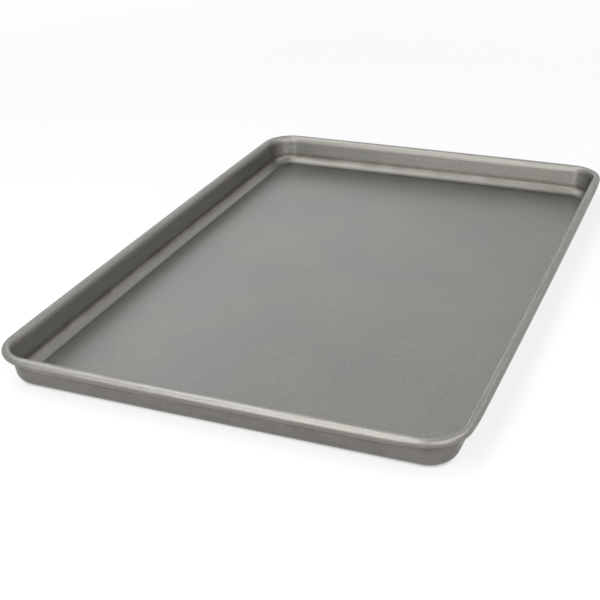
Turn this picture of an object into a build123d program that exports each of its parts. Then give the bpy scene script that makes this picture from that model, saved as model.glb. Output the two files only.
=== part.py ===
from build123d import *

import math
import os

# Jelly roll pan: a shallow oblong baking tray with a rolled rim, made of two pieces.
# The body is one pressed sheet of steel: a flat floor, a small bend all round, a steep wall that leans
# outwards, a soft shoulder at its top, and an edge that curls over outwards, down and back under itself.
# A steel wire lies inside that curl and stiffens the rim. Its two ends face each other across a small gap,
# midway along one long side.
# The origin is on the surface that the pan stands on, under the pan's centre. X runs along the short side,
# Y along the long side and Z points up. Lengths are in millimetres and angles in degrees.

# The pan's sizes. Such pans are sold by their opening, measured inside the rim: here 10 by 15 inches.
OPENING_WIDTH = 254.0
OPENING_LENGTH = 381.0
PAN_HEIGHT = 20.6  # from the underside to the top of the rim
WALL_LEAN = 4.8  # outwards from upright
FLOOR_CORNER_RADIUS = 9.4  # of the flat floor, seen from above
FLOOR_BEND_RADIUS = 6.0  # inside of the bend between floor and wall
SHOULDER_RADIUS = 9.0  # where the wall starts to turn outwards, below the curl
SHOULDER_TURN = 20.0
SHEET_THICKNESS = 0.7

# The curled edge, and the wire that lies in it, close under its top.
RIM_THICKNESS = 6.1
CURL_END_GAP = 0.25  # between the sheet's edge and the wall that it is rolled against
WIRE_DIAMETER = 3.2
WIRE_CLEARANCE = 0.1  # between the wire and the curl's top
WIRE_END_GAP = 1.5  # between the wire's two ends

CURL_OUTER_RADIUS = RIM_THICKNESS / 2
CURL_INNER_RADIUS = CURL_OUTER_RADIUS - SHEET_THICKNESS

# The line that the curl's centre follows, and the height of the wire's.
RIM_LINE_WIDTH = OPENING_WIDTH + 2 * CURL_OUTER_RADIUS
RIM_LINE_LENGTH = OPENING_LENGTH + 2 * CURL_OUTER_RADIUS
RIM_LINE_HEIGHT = PAN_HEIGHT - CURL_OUTER_RADIUS
WIRE_LINE_HEIGHT = PAN_HEIGHT - SHEET_THICKNESS - WIRE_CLEARANCE - WIRE_DIAMETER / 2

# The shoulder runs into the outside of the curl, and its centre lies beyond the curl's. The wall's inner
# face touches the shoulder and the inside of the floor's bend. That sets how far the bend's centre lies
# inside the rim line.
LEAN = math.radians(WALL_LEAN)
SHOULDER_REACH = SHOULDER_RADIUS - CURL_OUTER_RADIUS
SHOULDER_SET = SHOULDER_REACH * (1 - math.cos(math.radians(SHOULDER_TURN)))
BEND_HEIGHT = SHEET_THICKNESS + FLOOR_BEND_RADIUS
WALL_RUN = (RIM_LINE_HEIGHT - BEND_HEIGHT) * math.sin(LEAN)
BEND_INSET = (CURL_OUTER_RADIUS + SHOULDER_SET + FLOOR_BEND_RADIUS + WALL_RUN) / math.cos(LEAN)


def swept_rim(section, height):
    """A section swept once round the pan, at a height. The section's X is out of the pan, and its Y up."""
    outline = RectangleRounded(RIM_LINE_WIDTH, RIM_LINE_LENGTH, FLOOR_CORNER_RADIUS + BEND_INSET)
    line = Pos(0, 0, height) * outline.wire()
    start = line @ 0
    up = Vector(0, 0, 1)
    outward = (line % 0).cross(up)
    if outward.dot(start) < 0:
        outward = -outward
    across = Plane(origin=start, x_dir=outward, z_dir=outward.cross(up))
    return sweep(across * section, path=line)


def sheet_section():
    """The sheet cut across, from the floor's edge up the wall and round the curl to the sheet's edge."""
    bend = Vector(-BEND_INSET, BEND_HEIGHT - RIM_LINE_HEIGHT)
    bend_turn = 90 - WALL_LEAN
    below_bend = CenterArc(bend, BEND_HEIGHT, -90, bend_turn)
    above_bend = CenterArc(bend, FLOOR_BEND_RADIUS, -90, bend_turn)

    wall_side = 180 - WALL_LEAN
    curl_start = wall_side - SHOULDER_TURN
    shoulder = -SHOULDER_REACH * Vector(1, 0).rotate(Axis.Z, curl_start)
    inside_shoulder = CenterArc(shoulder, SHOULDER_RADIUS - SHEET_THICKNESS, wall_side, -SHOULDER_TURN)
    outside_shoulder = CenterArc(shoulder, SHOULDER_RADIUS, wall_side, -SHOULDER_TURN)

    # The curl stops where the sheet's outer corner comes up to the wall's outer face, less the gap.
    reach = CURL_INNER_RADIUS + SHOULDER_SET - CURL_END_GAP
    curl_turn = 360 - SHOULDER_TURN - math.degrees(math.acos(reach / CURL_OUTER_RADIUS))
    inside_curl = CenterArc((0, 0), CURL_INNER_RADIUS, curl_start, -curl_turn)
    outside_curl = CenterArc((0, 0), CURL_OUTER_RADIUS, curl_start, -curl_turn)

    return make_face(
        [
            below_bend,
            Line(below_bend @ 1, inside_shoulder @ 0),
            inside_shoulder,
            inside_curl,
            Line(inside_curl @ 1, outside_curl @ 1),
            outside_curl,
            outside_shoulder,
            Line(outside_shoulder @ 0, above_bend @ 1),
            above_bend,
            Line(above_bend @ 0, below_bend @ 0),
        ]
    )


def pan_body():
    """The pressed sheet: its bend, wall and curl swept round the pan, and the flat floor inside them."""
    edge = swept_rim(sheet_section(), RIM_LINE_HEIGHT)
    floor_outline = make_face(edge.edges().group_by(Axis.Z)[0])
    return edge + extrude(floor_outline, SHEET_THICKNESS, dir=(0, 0, 1))


def rim_wire():
    """The wire inside the curl: one turn, open midway along the side at +X."""
    turn = swept_rim(Circle(WIRE_DIAMETER / 2), WIRE_LINE_HEIGHT)
    end_gap = Box(2 * WIRE_DIAMETER, WIRE_END_GAP, 2 * WIRE_DIAMETER)
    return turn - Pos(RIM_LINE_WIDTH / 2, 0, WIRE_LINE_HEIGHT) * end_gap


os.makedirs("parts", exist_ok=True)
for name, piece in {"pan_body": pan_body(), "rim_wire": rim_wire()}.items():
    export_step(piece, f"parts/{name}.step")
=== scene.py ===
import math

import bpy
import numpy as np
from mathutils import Matrix, Vector


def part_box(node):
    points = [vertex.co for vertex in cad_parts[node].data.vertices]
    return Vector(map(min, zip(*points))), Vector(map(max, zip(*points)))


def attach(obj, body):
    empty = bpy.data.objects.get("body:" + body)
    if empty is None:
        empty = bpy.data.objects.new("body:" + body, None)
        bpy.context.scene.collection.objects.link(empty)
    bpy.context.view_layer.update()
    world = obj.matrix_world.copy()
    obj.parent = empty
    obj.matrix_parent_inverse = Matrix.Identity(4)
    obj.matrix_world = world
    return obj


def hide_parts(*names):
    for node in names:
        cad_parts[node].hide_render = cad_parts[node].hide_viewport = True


# The jelly roll pan as it looks: the pressed sheet and the wire in its curled rim, in a white studio.
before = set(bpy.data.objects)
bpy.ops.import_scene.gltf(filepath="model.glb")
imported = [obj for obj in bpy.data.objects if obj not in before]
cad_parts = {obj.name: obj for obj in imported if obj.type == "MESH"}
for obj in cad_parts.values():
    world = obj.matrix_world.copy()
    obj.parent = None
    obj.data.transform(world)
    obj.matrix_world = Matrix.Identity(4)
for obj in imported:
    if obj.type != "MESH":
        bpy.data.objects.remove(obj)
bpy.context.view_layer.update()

# The pan's sizes in metres. What the frame holds is read from it, and the rest is the sheet's own.
pan_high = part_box("pan_body")[1]
wire_low, wire_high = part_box("rim_wire")
WIRE_RADIUS = (wire_high.z - wire_low.z) / 2
WIRE_HEIGHT = (wire_high.z + wire_low.z) / 2
WIRE_END_GAP = 0.0015  # between the wire's two ends
SHEET = 0.0007  # the sheet's thickness
CURL_OUTER = 0.00305  # outer radius of the curl
CURL_END_GAP = 0.00025  # between the sheet's edge and the wall that it is rolled against
FLOOR_BEND = 0.006  # radius inside the bend that the CAD has between floor and wall
FLOOR_CORNER = 0.0094  # of the flat floor, seen from above
BEND_HEIGHT = SHEET + FLOOR_BEND
BEND_INSET = 0.01035  # from the line that the curl's centre follows in to the bend's centre
RIM_CORNER = FLOOR_CORNER + BEND_INSET

# The bend's inner face leaves the floor at a crease, rises on a large radius, and turns up into the
# wall on the smaller one that touches it.
CREASE_RADIUS = 0.0010
CREASE_TURN = math.radians(16)
RAMP_RADIUS = 0.0112
RAMP_TURN = math.radians(43)

# Below the curl the wall has a shoulder, where it starts to turn outwards on a larger radius.
SHOULDER_REACH = 0.00595
SHOULDER_TURN = math.radians(20)
SHOULDER_SET = SHOULDER_REACH * (1 - math.cos(SHOULDER_TURN))

# The curl is drawn tighter round the corners: its thickness there as a share of the sides', from the
# corner at +X and +Y round to the one at -Y and +X. The full share holds to one distance from a
# corner's middle, and eases off to the other.
CORNER_RIM_SHARES = (0.79, 0.95, 0.79, 0.79)
CORNER_RIM_HOLD = 0.008
CORNER_RIM_EASE = 0.030

# The sides of the pressed sheet are bowed a little. The CAD's straight side is their mean, so a third
# of the bow lies outside it.
SIDE_BOW = 0.00076
BOW_OUT_SHARE = 1 / 3

# How many steps each arc and straight of the meshes has, and how often the place of the corners'
# circles is worked out again until it settles.
CORNER_STEPS = 32
SIDE_STEPS = 28
CREASE_STEPS = 4
RAMP_STEPS = 6
BEND_STEPS = 14
WALL_STEPS = 8
SHOULDER_STEPS = 8
CURL_STEPS = 44
WIRE_STEPS = 24
CORNER_ROUNDS = 20

# The flat floor's rings, as shares of the way from its middle to its edge: even ones, and closer ones
# beside the bend.
FIRST_FLOOR_RING = 0.04
LAST_FLOOR_RING = 0.97
EVEN_FLOOR_RINGS = 26
CLOSE_FLOOR_RINGS = (0.99, 0.998)


def eased(share):
    """A share from 0 to 1 that leaves the one and reaches the other smoothly."""
    return share * share * (3 - 2 * share)


class RimLine:
    """The bowed, rounded oblong that the rim follows: eight arcs that run into each other."""

    def __init__(self):
        # Each side is an arc, whose radius follows from its length and its bow.
        half = [side - CURL_OUTER + SIDE_BOW * BOW_OUT_SHARE for side in (pan_high.x, pan_high.y)]
        radius = [(half[1 - k] ** 2 + SIDE_BOW**2) / (2 * SIDE_BOW) for k in (0, 1)]
        centre = [half[k] - radius[k] for k in (0, 1)]

        # A corner's circle lies inside both sides' circles and touches them.
        corner = [half[k] - RIM_CORNER for k in (0, 1)]
        for _ in range(CORNER_ROUNDS):
            for k in (0, 1):
                corner[k] = centre[k] + math.sqrt((radius[k] - RIM_CORNER) ** 2 - corner[1 - k] ** 2)
        turn = [math.asin(corner[1 - k] / (radius[k] - RIM_CORNER)) for k in (0, 1)]

        # A side's steps grow from its ends to its middle, and a corner's are even.
        side_shares = (1 - np.cos(np.linspace(0, math.pi, SIDE_STEPS + 1)[:-1])) / 2
        corner_shares = np.linspace(0, 1, CORNER_STEPS + 1)[:-1]
        self.centres, self.radii, angles = [], [], []
        for quarter in range(4):
            k = quarter % 2
            middle = quarter * math.pi / 2
            facing = Vector((math.cos(middle), math.sin(middle)))
            onward = Vector((-facing.y, facing.x))
            side_end = middle + turn[k]
            corner_end = middle + math.pi / 2 - turn[1 - k]
            self.add(centre[k] * facing, radius[k], angles, middle - turn[k], side_end, side_shares)
            corner_centre = corner[k] * facing + corner[1 - k] * onward
            self.add(corner_centre, RIM_CORNER, angles, side_end, corner_end, corner_shares)
        self.centres = np.array(self.centres)
        self.radii = np.array(self.radii)
        self.outward = np.stack([np.cos(angles), np.sin(angles)], 1)
        self.count = len(angles)
        points = self.ring(0.0)
        steps = np.linalg.norm(np.roll(points, -1, 0) - points, axis=1)
        self.length = steps.sum()
        self.along = np.cumsum(steps) - steps
        self.thickness = self.rim_shares()

    def add(self, centre, radius, angles, start, end, shares):
        """Adds one arc's points, without its end."""
        for share in shares:
            self.centres.append(tuple(centre))
            self.radii.append(radius)
            angles.append(start + (end - start) * share)

    def ring(self, out):
        """The line moved outwards by a distance, as points seen from above."""
        return self.centres + (self.radii + out)[:, None] * self.outward

    def rim_shares(self):
        """The curl's thickness at each point, as a share of its full thickness."""
        shares = np.ones(self.count)
        for quarter, corner_share in enumerate(CORNER_RIM_SHARES):
            corner_middle = (SIDE_STEPS + CORNER_STEPS) * quarter + SIDE_STEPS + CORNER_STEPS // 2
            distance = abs(self.along - self.along[corner_middle])
            distance = np.minimum(distance, self.length - distance)
            near = np.clip((CORNER_RIM_EASE - distance) / (CORNER_RIM_EASE - CORNER_RIM_HOLD), 0, 1)
            shares += eased(near) * (corner_share - 1)
        return shares


def arc(centre, radius, start, turn, steps):
    """Points along an arc of a section, with its angles in radians."""
    angles = np.linspace(start, start + turn, steps + 1)
    return np.stack([centre[0] + radius * np.cos(angles), centre[1] + radius * np.sin(angles)], 1)


def over_bend_face(lean):
    """The bend's inner face, from the floor's edge through the crease, the ramp and the foot's arc.

    The three run into each other, and the foot's radius closes them onto the leaning wall.
    """
    turns = (0.0, CREASE_TURN, RAMP_TURN, math.pi / 2 - lean)
    room = [math.cos(lean) * math.sin(turn) - math.sin(lean) * (1 - math.cos(turn)) for turn in turns]
    taken = CREASE_RADIUS * room[1] + RAMP_RADIUS * (room[2] - room[1])
    foot_radius = (FLOOR_BEND * room[3] - taken) / (room[3] - room[2])
    radii = (CREASE_RADIUS, RAMP_RADIUS, foot_radius)
    step_counts = (CREASE_STEPS, RAMP_STEPS, BEND_STEPS)
    centre = np.array([-BEND_INSET, SHEET])
    face = [centre[None]]
    last_radius = 0.0
    for radius, start, end, steps in zip(radii, turns, turns[1:], step_counts):
        centre = centre + (radius - last_radius) * np.array([-math.sin(start), math.cos(start)])
        face.append(arc(centre, radius, start - math.pi / 2, end - start, steps)[1:])
        last_radius = radius
    return np.concatenate(face)


def sheet_section(curl_radius):
    """The sheet cut across: its inner face from floor to curl's end, then its outer face back."""
    bend = np.array([-BEND_INSET, BEND_HEIGHT])
    curl = np.array([0.0, pan_high.z - curl_radius])

    # The wall's inner face touches the bend and the shoulder, and the shoulder runs into the curl.
    reach = curl_radius + SHOULDER_SET + FLOOR_BEND
    apart = curl - bend
    lean = math.acos(reach / np.linalg.norm(apart)) - math.atan2(apart[1], apart[0])
    wall_side = math.pi - lean
    curl_start = wall_side - SHOULDER_TURN
    shoulder = curl - SHOULDER_REACH * np.array([math.cos(curl_start), math.sin(curl_start)])
    shoulder_radius = curl_radius + SHOULDER_REACH
    end_share = (curl_radius - SHEET - CURL_END_GAP + SHOULDER_SET) / curl_radius
    curl_turn = curl_start + math.pi + lean - math.acos(end_share)

    over_bend = over_bend_face(lean)
    over_shoulder = arc(shoulder, shoulder_radius, wall_side, -SHOULDER_TURN, SHOULDER_STEPS)
    over_curl = arc(curl, curl_radius, curl_start, -curl_turn, CURL_STEPS)
    in_curl = arc(curl, curl_radius - SHEET, curl_start - curl_turn, curl_turn, CURL_STEPS)
    in_shoulder = arc(shoulder, shoulder_radius - SHEET, curl_start, SHOULDER_TURN, SHOULDER_STEPS)
    under_bend = arc(bend, BEND_HEIGHT, -lean, lean - math.pi / 2, BEND_STEPS)
    inner_wall = np.linspace(over_bend[-1], over_shoulder[0], WALL_STEPS + 1)[1:-1]
    outer_wall = np.linspace(in_shoulder[-1], under_bend[0], WALL_STEPS + 1)[1:-1]
    inner_face = np.concatenate([over_bend, inner_wall, over_shoulder[:-1], over_curl])
    outer_face = np.concatenate([in_curl, in_shoulder[1:], outer_wall, under_bend])
    return inner_face, outer_face


def steps_along(points):
    """The distance from each point to the one before it, zero for the first."""
    return np.concatenate([[0.0], np.linalg.norm(np.diff(points, axis=0), axis=1)])


def smooth_object(name, vertices, faces, attributes, sharp_rings):
    """A smooth-shaded mesh object, with numbers on its points and hard edges along some rings.

    A ring is given by its first point's number and the number after its last.
    """
    mesh = bpy.data.meshes.new(name)
    mesh.from_pydata(vertices.tolist(), [], faces)
    for attribute, values in attributes.items():
        stored = mesh.attributes.new(attribute, "FLOAT", "POINT")
        stored.data.foreach_set("value", values.astype(np.float32))
    mesh.shade_smooth()
    edges = np.zeros(2 * len(mesh.edges), int)
    mesh.edges.foreach_get("vertices", edges)
    ends = edges.reshape(-1, 2)
    sharp = np.zeros(len(ends), bool)
    for low, high in sharp_rings:
        sharp |= ((ends >= low) & (ends < high)).all(1)
    mesh.attributes.new("sharp_edge", "BOOLEAN", "EDGE").data.foreach_set("value", sharp)
    piece = bpy.data.objects.new(name, mesh)
    bpy.context.scene.collection.objects.link(piece)
    return piece


def pan_mesh(line):
    """The pressed sheet, both its faces: the section swept round the rim line, and the floor."""
    sections = []
    for thickness in line.thickness:
        inner_face, outer_face = sheet_section(thickness * CURL_OUTER)
        sections.append(np.concatenate([inner_face, outer_face]))
    sections = np.stack(sections, axis=1)
    section_across = np.cumsum(steps_along(sections[:, 0]))
    even_rings = np.linspace(FIRST_FLOOR_RING, LAST_FLOOR_RING, EVEN_FLOOR_RINGS)
    floor_shares = np.concatenate([even_rings, CLOSE_FLOOR_RINGS])
    floor_edge = line.ring(-BEND_INSET)

    # The rings run from the floor's middle out over the inner face, and back under the outer face.
    rings, across = [], []
    for share in floor_shares:
        rings.append(np.column_stack([floor_edge * share, np.full(line.count, SHEET)]))
        across.append((share - 1) * BEND_INSET)
    for section, distance in zip(sections, section_across):
        rings.append(np.column_stack([line.ring(section[:, 0]), section[:, 1]]))
        across.append(distance)
    for share in floor_shares[::-1]:
        rings.append(np.column_stack([floor_edge * share, np.zeros(line.count)]))
        across.append(section_across[-1] + (1 - share) * BEND_INSET)

    # Faces join each ring to the next, and each end ring to one point in the floor's middle.
    faces = []
    starts = [line.count * k for k in range(len(rings))]
    for low, high in zip(starts, starts[1:]):
        for i in range(line.count):
            j = (i + 1) % line.count
            faces.append((low + i, high + i, high + j, low + j))
    top = line.count * len(rings)
    bottom = top + 1
    for i in range(line.count):
        j = (i + 1) % line.count
        faces.append((top, i, j))
        faces.append((bottom, starts[-1] + j, starts[-1] + i))
    vertices = np.concatenate(rings + [[(0.0, 0.0, SHEET), (0.0, 0.0, 0.0)]])

    # The materials read each point's place along the rim line and across the sheet, and know the
    # sheet's cut edge, which lies between the last ring of the inner face and the first of the outer.
    along = np.concatenate([np.tile(line.along, len(rings)), [0.0, 0.0]])
    across = np.concatenate([np.repeat(across, line.count), [across[0], across[-1]]])
    cut = starts[len(floor_shares) + len(inner_face) - 1]
    cut_end = cut + 2 * line.count
    sharp_rings = [(cut, cut + line.count), (cut + line.count, cut_end)]
    at_cut = np.zeros(len(vertices))
    at_cut[cut:cut_end] = 1.0
    attributes = {"along": along, "across": across, "cut": at_cut}
    return smooth_object("pressed_pan", vertices, faces, attributes, sharp_rings)


def wire_mesh(line):
    """The wire inside the curl: one turn, open midway along the side at +X, with flat cut ends."""
    around = arc((0.0, 0.0), WIRE_RADIUS, 0.0, 2 * math.pi, WIRE_STEPS)[:-1]
    order = np.roll(np.arange(line.count), -(SIDE_STEPS // 2))
    middle = line.ring(0.0)
    sections = []
    for i in order:
        out = around[:, :1] * line.outward[i]
        sections.append(np.column_stack([middle[i] + out, WIRE_HEIGHT + around[:, 1]]))
    first = sections[0].copy()
    last = sections[0].copy()
    first[:, 1] += WIRE_END_GAP / 2
    last[:, 1] -= WIRE_END_GAP / 2
    sections = [first] + sections[1:] + [last]
    faces = []
    for k in range(len(sections) - 1):
        low = k * WIRE_STEPS
        high = low + WIRE_STEPS
        for i in range(WIRE_STEPS):
            j = (i + 1) % WIRE_STEPS
            faces.append((low + i, high + i, high + j, low + j))
    end = (len(sections) - 1) * WIRE_STEPS
    faces.append(tuple(range(WIRE_STEPS)))
    faces.append(tuple(range(end, end + WIRE_STEPS))[::-1])
    along = np.repeat(np.append(line.along, line.length), WIRE_STEPS)
    around_step = 2 * math.pi * WIRE_RADIUS / WIRE_STEPS
    across = np.tile(np.arange(WIRE_STEPS) * around_step, len(sections))
    sharp_rings = [(0, WIRE_STEPS), (end, end + WIRE_STEPS)]
    attributes = {"along": along, "across": across}
    return smooth_object("rim_wire_steel", np.concatenate(sections), faces, attributes, sharp_rings)


class Nodes:
    """The nodes of a material or a world, made and joined in short calls."""

    # A mix node has sockets for each kind of value that it can mix. These are its colours'.
    MIX_SHARE = 0
    MIX_COLOURS = slice(6, 8)
    MIX_RESULT = 2

    def __init__(self, owner):
        self.owner = owner
        owner.use_nodes = True
        self.tree = owner.node_tree
        self.tree.nodes.clear()

    def feed(self, socket, value):
        """Gives an input its value, which is a number, a colour or another node's output."""
        if isinstance(value, bpy.types.NodeSocket):
            self.tree.links.new(value, socket)
        else:
            socket.default_value = value

    def add(self, kind, settings=(), **inputs):
        """A node with its settings and its inputs, named with underscores for spaces."""
        node = self.tree.nodes.new(kind)
        for setting, value in dict(settings).items():
            setattr(node, setting, value)
        for name, value in inputs.items():
            self.feed(node.inputs[name.replace("_", " ")], value)
        return node

    def math(self, operation, *values):
        """The output of a maths node that works on numbers or on other nodes' outputs."""
        node = self.add("ShaderNodeMath", {"operation": operation})
        for socket, value in zip(node.inputs, values):
            self.feed(socket, value)
        return node.outputs[0]

    def add_up(self, total, amounts, parts):
        """A total with each of the named parts added in its amount."""
        for name, amount in amounts.items():
            total = self.math("MULTIPLY_ADD", parts[name], amount, total)
        return total

    def noise(self, place, scale, detail=2.0):
        """Noise about a half, with a number of cells per unit of its place."""
        node = self.add("ShaderNodeTexNoise", Vector=place, Scale=scale, Detail=detail)
        return node.outputs["Fac"]

    def around(self, noise):
        """Noise about zero instead of a half."""
        return self.math("SUBTRACT", noise, 0.5)

    def lines(self, along_cells, across_cells):
        """Noise drawn out into lines along the rim, with its cells per metre along and across."""
        along = self.math("MULTIPLY", self.attribute("along"), along_cells)
        across = self.math("MULTIPLY", self.attribute("across"), across_cells)
        place = self.add("ShaderNodeCombineXYZ", X=along, Y=across).outputs[0]
        return self.noise(place, 1.0)

    def spread(self, value, start, end, low=0.0, high=1.0):
        """A value's place between a start and an end, smoothly spread between two numbers."""
        node = self.add("ShaderNodeMapRange", {"interpolation_type": "SMOOTHSTEP"}, Value=value)
        limits = {"From Min": start, "From Max": end, "To Min": low, "To Max": high}
        for name, limit in limits.items():
            node.inputs[name].default_value = limit
        return node.outputs["Result"]

    def blend(self, share, low, high):
        """A colour between two others."""
        node = self.add("ShaderNodeMix", {"data_type": "RGBA"})
        self.feed(node.inputs[self.MIX_SHARE], share)
        for socket, value in zip(node.inputs[self.MIX_COLOURS], (low, high)):
            self.feed(socket, value)
        return node.outputs[self.MIX_RESULT]

    def attribute(self, name):
        """A number that the mesh holds at its points."""
        return self.add("ShaderNodeAttribute", {"attribute_name": name}).outputs["Fac"]

    def shows_background(self):
        """One for the rays that show the background, straight or in a reflection, else zero."""
        path = self.add("ShaderNodeLightPath").outputs
        seen = self.math("MAXIMUM", path["Is Camera Ray"], path["Is Glossy Ray"])
        return self.math("MAXIMUM", seen, path["Is Transmission Ray"])

    def metal(self, colour, roughness, relief, depth):
        """Ends a metal's material with its colour, its roughness and a relief of some depth."""
        bump = self.add("ShaderNodeBump", Strength=1.0, Distance=depth, Height=relief)
        shader = self.add(
            "ShaderNodeBsdfPrincipled",
            Base_Color=colour,
            Metallic=1.0,
            Roughness=roughness,
            Normal=bump.outputs[0],
        )
        self.add("ShaderNodeOutputMaterial", Surface=shader.outputs["BSDF"])
        return self.owner


# The coat's greys: the floor's cooler and warmer clouds, the browner wall where the sheet is drawn,
# the dark grey of painted shade under the curl and in the bend at the wall's foot and of stain with
# painted shadow along the bottom edge, the paler rubbed crest of the rim, and the bare steel of the
# sheet's cut edge.
COAT_COOL = (0.190, 0.188, 0.178, 1.0)
COAT_WARM = (0.201, 0.196, 0.181, 1.0)
COAT_WALL = (0.220, 0.211, 0.191, 1.0)
# Painted shade under the curl and at the wall's foot, and stain with painted shadow along the bottom
# edge.
COAT_STAIN_AND_SHADE = (0.140, 0.131, 0.115, 1.0)
COAT_RUBBED = (0.238, 0.234, 0.220, 1.0)
CUT_STEEL = (0.48, 0.47, 0.46, 1.0)

# The cells per metre of the coat's noises: clouds of 60 mm, patches of wear of 14 mm, mottling of
# 4 mm, speckle of 1.5 mm, and the grain of the metal flakes, of half a millimetre.
CLOUDS = 16.0
PATCHES = 70.0
PATCH_DETAIL = 4.0  # how many finer noises lie on the patches
MOTTLING = 260.0
SPECKLE = 680.0
GRAIN = 1900.0
COAT_LINES = (36.0, 1100.0)  # along the rim, and across

# How much each of them changes the coat's tone and its roughness, and how much more the drawn lines
# stand up than the grain, whose depth is in metres.
TONE_AMOUNTS = {"mottling": 0.14, "speckle": 0.34, "grain": 0.40, "lines": 0.45}
ROUGHNESS_AMOUNTS = {"mottling": 0.10, "speckle": 0.10, "lines": 0.12, "rubbed": -0.04}
FLOOR_ROUGHNESS = 0.36
WALL_ROUGHNESS = 0.44
LINE_RELIEF = 1.5
GRAIN_DEPTH = 0.000006

# Heights above the standing surface between which these start or end: the drawn wall, the painted
# shade inside at its foot, the stain and painted shadow outside along the bottom edge, and the
# painted shade outside under the curl.
WALL_START = (0.0010, 0.0045)
FOOT_START = (0.0014, 0.0036)
FOOT_END = (0.0090, 0.0058)
EDGE_START = (0.0, 0.0003)
EDGE_END = (0.0040, 0.0015)
UNDER_CURL = (0.0090, 0.0125)

# The distances across the sheet between which its inner face gives way to its outer one, and how far
# below its top the rim is rubbed.
OUTER_FACE = (0.042, 0.044)
CREST_DEPTH = 0.0011

# The parts of the noises' range over which clouds, patches and rubbed places come up, and how strong
# the painted shade and stain, and the rubbed places, are at either end.
CLOUD_RANGE = (0.35, 0.65)
PATCH_RANGE = (0.35, 0.65)
RUBBED_RANGE = (0.40, 0.60)
PATCH_STRENGTH = (0.6, 1.0)
RUBBED_STRENGTH = (0.1, 0.9)
UNDER_CURL_STRENGTH = (0.5, 0.9)


def coat_material():
    """The satin grey non-stick coat, with its grain, drawn lines, wear and painted shade."""
    nodes = Nodes(bpy.data.materials.new("nonstick_coat"))
    place = nodes.add("ShaderNodeTexCoord").outputs["Object"]
    height = nodes.add("ShaderNodeSeparateXYZ", Vector=place).outputs["Z"]
    clouds = nodes.noise(place, CLOUDS)
    mottling = nodes.around(nodes.noise(place, MOTTLING))
    speckle = nodes.around(nodes.noise(place, SPECKLE))
    grain = nodes.around(nodes.noise(place, GRAIN))

    # The press draws fine lines along the wall and the rim, which run out where the floor begins.
    drawn = nodes.spread(height, *WALL_START)
    lines = nodes.math("MULTIPLY", nodes.around(nodes.lines(*COAT_LINES)), drawn)

    # Painted shade in the bend at the wall's foot and under the curl, stain with painted shadow along
    # the bottom edge, all in patches, and a rubbed crest.
    patches = nodes.noise(place, PATCHES, PATCH_DETAIL)
    outer = nodes.spread(nodes.attribute("across"), *OUTER_FACE)
    foot = nodes.math("MULTIPLY", nodes.spread(height, *FOOT_START), nodes.spread(height, *FOOT_END))
    edge = nodes.math("MULTIPLY", nodes.spread(height, *EDGE_START), nodes.spread(height, *EDGE_END))
    under_curl = nodes.spread(height, *UNDER_CURL, *UNDER_CURL_STRENGTH)
    outside = nodes.math("MAXIMUM", edge, under_curl)
    inside = nodes.math("MULTIPLY", foot, nodes.math("SUBTRACT", 1.0, outer))
    stain_and_shade_mask = nodes.math("MULTIPLY_ADD", outside, outer, inside)
    stain_and_shade = nodes.math("MULTIPLY", stain_and_shade_mask, nodes.spread(patches, *PATCH_RANGE, *PATCH_STRENGTH))
    crest = nodes.spread(height, pan_high.z - CREST_DEPTH, pan_high.z)
    worn = nodes.spread(nodes.math("ADD", patches, lines), *RUBBED_RANGE, *RUBBED_STRENGTH)
    rubbed = nodes.math("MULTIPLY", crest, worn)

    colour = nodes.blend(nodes.spread(clouds, *CLOUD_RANGE), COAT_COOL, COAT_WARM)
    colour = nodes.blend(drawn, colour, COAT_WALL)
    # The painted shade, and the stain with painted shadow, darken the coat here.
    colour = nodes.blend(stain_and_shade, colour, COAT_STAIN_AND_SHADE)
    colour = nodes.blend(rubbed, colour, COAT_RUBBED)
    colour = nodes.blend(nodes.attribute("cut"), colour, CUT_STEEL)

    # Tone and roughness follow the noises, the lines and the wear, and the grain stands up a little.
    parts = {
        "mottling": mottling,
        "speckle": speckle,
        "grain": grain,
        "lines": lines,
        "rubbed": rubbed,
    }
    tone = nodes.add_up(1.0, TONE_AMOUNTS, parts)
    toned = nodes.add("ShaderNodeVectorMath", {"operation": "SCALE"}, Scale=tone)
    nodes.feed(toned.inputs[0], colour)
    roughness = nodes.math("MULTIPLY_ADD", drawn, WALL_ROUGHNESS - FLOOR_ROUGHNESS, FLOOR_ROUGHNESS)
    roughness = nodes.add_up(roughness, ROUGHNESS_AMOUNTS, parts)
    relief = nodes.math("MULTIPLY_ADD", lines, LINE_RELIEF, nodes.math("ADD", speckle, grain))
    return nodes.metal(toned.outputs[0], roughness, relief, GRAIN_DEPTH)


# The wire's steel between its darker and its paler lines, and its tarnish. The lines' cells per metre
# are along the rim and across, their depth is in metres, and the tarnish lies in patches of 18 mm.
WIRE_DARK = (0.48, 0.48, 0.47, 1.0)
WIRE_PALE = (0.62, 0.61, 0.60, 1.0)
WIRE_TARNISH = (0.33, 0.30, 0.27, 1.0)
WIRE_LINES = (30.0, 2500.0)
WIRE_LINE_DEPTH = 0.00001
WIRE_ROUGHNESS = 0.30
TARNISH = 55.0
TARNISH_RANGE = (0.45, 0.65)
TARNISH_ROUGHNESS = 0.2


def wire_material():
    """Drawn steel, with lines along the wire and a little tarnish."""
    nodes = Nodes(bpy.data.materials.new("wire_steel"))
    place = nodes.add("ShaderNodeTexCoord").outputs["Object"]
    lines = nodes.lines(*WIRE_LINES)
    tarnish = nodes.spread(nodes.noise(place, TARNISH, PATCH_DETAIL), *TARNISH_RANGE)
    colour = nodes.blend(lines, WIRE_DARK, WIRE_PALE)
    colour = nodes.blend(tarnish, colour, WIRE_TARNISH)
    roughness = nodes.math("MULTIPLY_ADD", tarnish, TARNISH_ROUGHNESS, WIRE_ROUGHNESS)
    return nodes.metal(colour, roughness, lines, WIRE_LINE_DEPTH)


# The studio: a white surface and surroundings, and the light that they give to what is dull. Where
# the surface shows, its glow adds to its grey to make white.
FLOOR_HALF = 6.0
FLOOR_GREY = 0.25
FLOOR_GLOW = 1 - FLOOR_GREY
AMBIENT = 0.2
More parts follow.
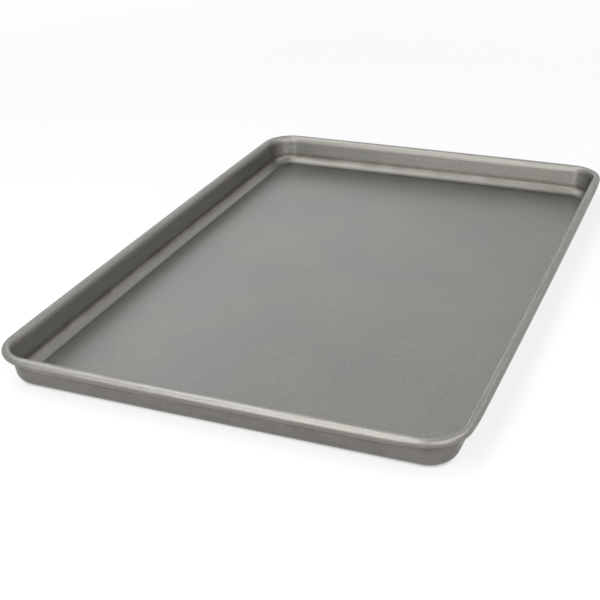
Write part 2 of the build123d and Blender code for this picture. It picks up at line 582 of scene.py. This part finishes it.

# The glow starts at the edge of what the pan stands on, which lies some way inside the rim: with none
# under the pan, this paints a contact shadow there, which the pan's bottom edge reflects. It comes up
# over the first pair of distances from there, in metres, and gains a little over the second pair,
# where the lamps' light thins out.
RIM_TO_FLOOR = CURL_OUTER + BEND_INSET
GLOW_EDGE = (-0.001, 0.005)
GLOW_FAR = (0.2, 1.4)
GLOW_FAR_GAIN = FLOOR_GREY - FLOOR_GREY * AMBIENT

# The lamps' colours. Those behind the pan are a little cooler.
FRONT_LIGHT = (0.96, 0.98, 1.0)
BACK_LIGHT = (0.88, 0.95, 1.0)

# The studio's round softboxes, all turned to the pan: azimuth from +Y towards +X and elevation in
# degrees, distance and width in metres, power in watts, and colour.
SOFTBOXES = {
    "front_low": (193, 9, 1.0, 0.3, 1.8, FRONT_LIGHT),
    "front": (190, 30, 1.0, 0.55, 2.3, FRONT_LIGHT),
    "front_high": (196, 55, 0.95, 0.55, 1.6, FRONT_LIGHT),
    "left_high": (250, 65, 1.4, 0.9, 5.2, FRONT_LIGHT),
    "right_low": (134, 24, 1.4, 1.2, 7.5, FRONT_LIGHT),
    "right_high": (90, 47, 1.4, 0.8, 2.8, FRONT_LIGHT),
    "right_far": (55, 45, 1.4, 0.8, 2.0, FRONT_LIGHT),
    "top": (-60, 65, 1.4, 0.8, 2.0, FRONT_LIGHT),
    "back_left": (-38, 26, 1.5, 0.4, 0.44, BACK_LIGHT),
    "back_low": (-24, 20, 1.5, 0.4, 0.10, BACK_LIGHT),
    "back": (-20, 24, 1.5, 0.6, 0.27, BACK_LIGHT),
    "back_high": (-3, 38, 1.5, 0.5, 0.20, BACK_LIGHT),
}


def studio_floor():
    """The pale surface that the pan stands on.

    It glows only for the rays that show the background, and not under the pan, where the missing glow
    paints a contact shadow for the pan's lower edge to reflect.
    """
    half = FLOOR_HALF
    corners = [(-half, -half, 0), (half, -half, 0), (half, half, 0), (-half, half, 0)]
    mesh = bpy.data.meshes.new("studio_floor")
    mesh.from_pydata(corners, [], [(0, 1, 2, 3)])
    floor = bpy.data.objects.new("studio_floor", mesh)
    bpy.context.scene.collection.objects.link(floor)
    nodes = Nodes(bpy.data.materials.new("studio_floor"))
    place = nodes.add("ShaderNodeNewGeometry").outputs["Position"]
    across = nodes.add("ShaderNodeSeparateXYZ", Vector=place).outputs

    # The distance from the rounded oblong on which the pan stands.
    squares = []
    for side, reach in (("X", pan_high.x - RIM_TO_FLOOR), ("Y", pan_high.y - RIM_TO_FLOOR)):
        past = nodes.math("SUBTRACT", nodes.math("ABSOLUTE", across[side]), reach - FLOOR_CORNER)
        squares.append(nodes.math("POWER", nodes.math("MAXIMUM", past, 0.0), 2.0))
    distance = nodes.math("SQRT", nodes.math("ADD", *squares))
    distance = nodes.math("SUBTRACT", distance, FLOOR_CORNER)

    # The glow's gap under the pan is a painted contact shadow.
    near_glow = nodes.spread(distance, *GLOW_EDGE, 0.0, FLOOR_GLOW)
    glow = nodes.math("ADD", near_glow, nodes.spread(distance, *GLOW_FAR, 0.0, GLOW_FAR_GAIN))
    strength = nodes.math("MULTIPLY", nodes.shows_background(), glow)
    diffuse = nodes.add("ShaderNodeBsdfDiffuse", Color=(FLOOR_GREY, FLOOR_GREY, FLOOR_GREY, 1.0))
    glowing = nodes.add("ShaderNodeEmission", Strength=strength)
    both = nodes.add("ShaderNodeAddShader")
    nodes.feed(both.inputs[0], diffuse.outputs[0])
    nodes.feed(both.inputs[1], glowing.outputs[0])
    nodes.add("ShaderNodeOutputMaterial", Surface=both.outputs[0])
    mesh.materials.append(nodes.owner)


def studio_world():
    """White surroundings, which light what is dull at the ambient level."""
    nodes = Nodes(bpy.data.worlds.new("studio"))
    strength = nodes.math("MULTIPLY_ADD", nodes.shows_background(), 1 - AMBIENT, AMBIENT)
    background = nodes.add("ShaderNodeBackground", Color=(1.0, 1.0, 1.0, 1.0), Strength=strength)
    nodes.add("ShaderNodeOutputWorld", Surface=background.outputs[0])
    bpy.context.scene.world = nodes.owner


def studio_lamps():
    """The softboxes, which the camera itself doesn't see."""
    for name, (azimuth, elevation, distance, width, power, colour) in SOFTBOXES.items():
        data = bpy.data.lights.new(name, "AREA")
        data.shape = "DISK"
        data.size = width
        data.energy = power
        data.color = colour
        lamp = bpy.data.objects.new(name, data)
        level = distance * math.cos(math.radians(elevation))
        turn = math.radians(azimuth)
        up = distance * math.sin(math.radians(elevation))
        lamp.location = (level * math.sin(turn), level * math.cos(turn), up)
        lamp.rotation_euler = (-lamp.location).to_track_quat("-Z", "Y").to_euler()
        lamp.visible_camera = False
        bpy.context.scene.collection.objects.link(lamp)


# The camera, as solved from the outlines of the rim and floor in the photograph: the point that it
# looks at and its distance in metres, its turns, and its lens and sensor in millimetres.
CAMERA_TARGET = Vector((-0.01236, -0.04202, 0.0003))
CAMERA_DISTANCE = 0.7186
CAMERA_AZIMUTH = math.radians(-23.32)
CAMERA_ELEVATION = math.radians(26.60)
CAMERA_ROLL = math.radians(1.77)
CAMERA_LENS = 69.76
SENSOR = 36.0


def photo_camera():
    """The camera at the photograph's place."""
    level = Vector((math.sin(CAMERA_AZIMUTH), math.cos(CAMERA_AZIMUTH), 0.0))
    forward = level * math.cos(CAMERA_ELEVATION) - Vector((0, 0, math.sin(CAMERA_ELEVATION)))
    right = Vector((math.cos(CAMERA_AZIMUTH), -math.sin(CAMERA_AZIMUTH), 0.0))
    down = forward.cross(right)
    rolled_right = right * math.cos(CAMERA_ROLL) + down * math.sin(CAMERA_ROLL)
    rolled_up = right * math.sin(CAMERA_ROLL) - down * math.cos(CAMERA_ROLL)
    data = bpy.data.cameras.new("photo_camera")
    data.sensor_fit = "HORIZONTAL"
    data.sensor_width = SENSOR
    data.lens = CAMERA_LENS
    camera = bpy.data.objects.new("photo_camera", data)
    axes = Matrix((rolled_right, rolled_up, -forward)).transposed().to_4x4()
    place = CAMERA_TARGET - forward * CAMERA_DISTANCE
    camera.matrix_world = Matrix.Translation(place) @ axes
    bpy.context.scene.collection.objects.link(camera)
    bpy.context.scene.camera = camera


rim_line = RimLine()
pan = pan_mesh(rim_line)
pan.data.materials.append(coat_material())
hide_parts("pan_body")
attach(pan, "root")

wire = wire_mesh(rim_line)
wire.data.materials.append(wire_material())
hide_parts("rim_wire")
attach(wire, "root")

studio_floor()
photo_camera()
studio_world()
studio_lamps()
bpy.context.scene.view_settings.view_transform = "Standard"
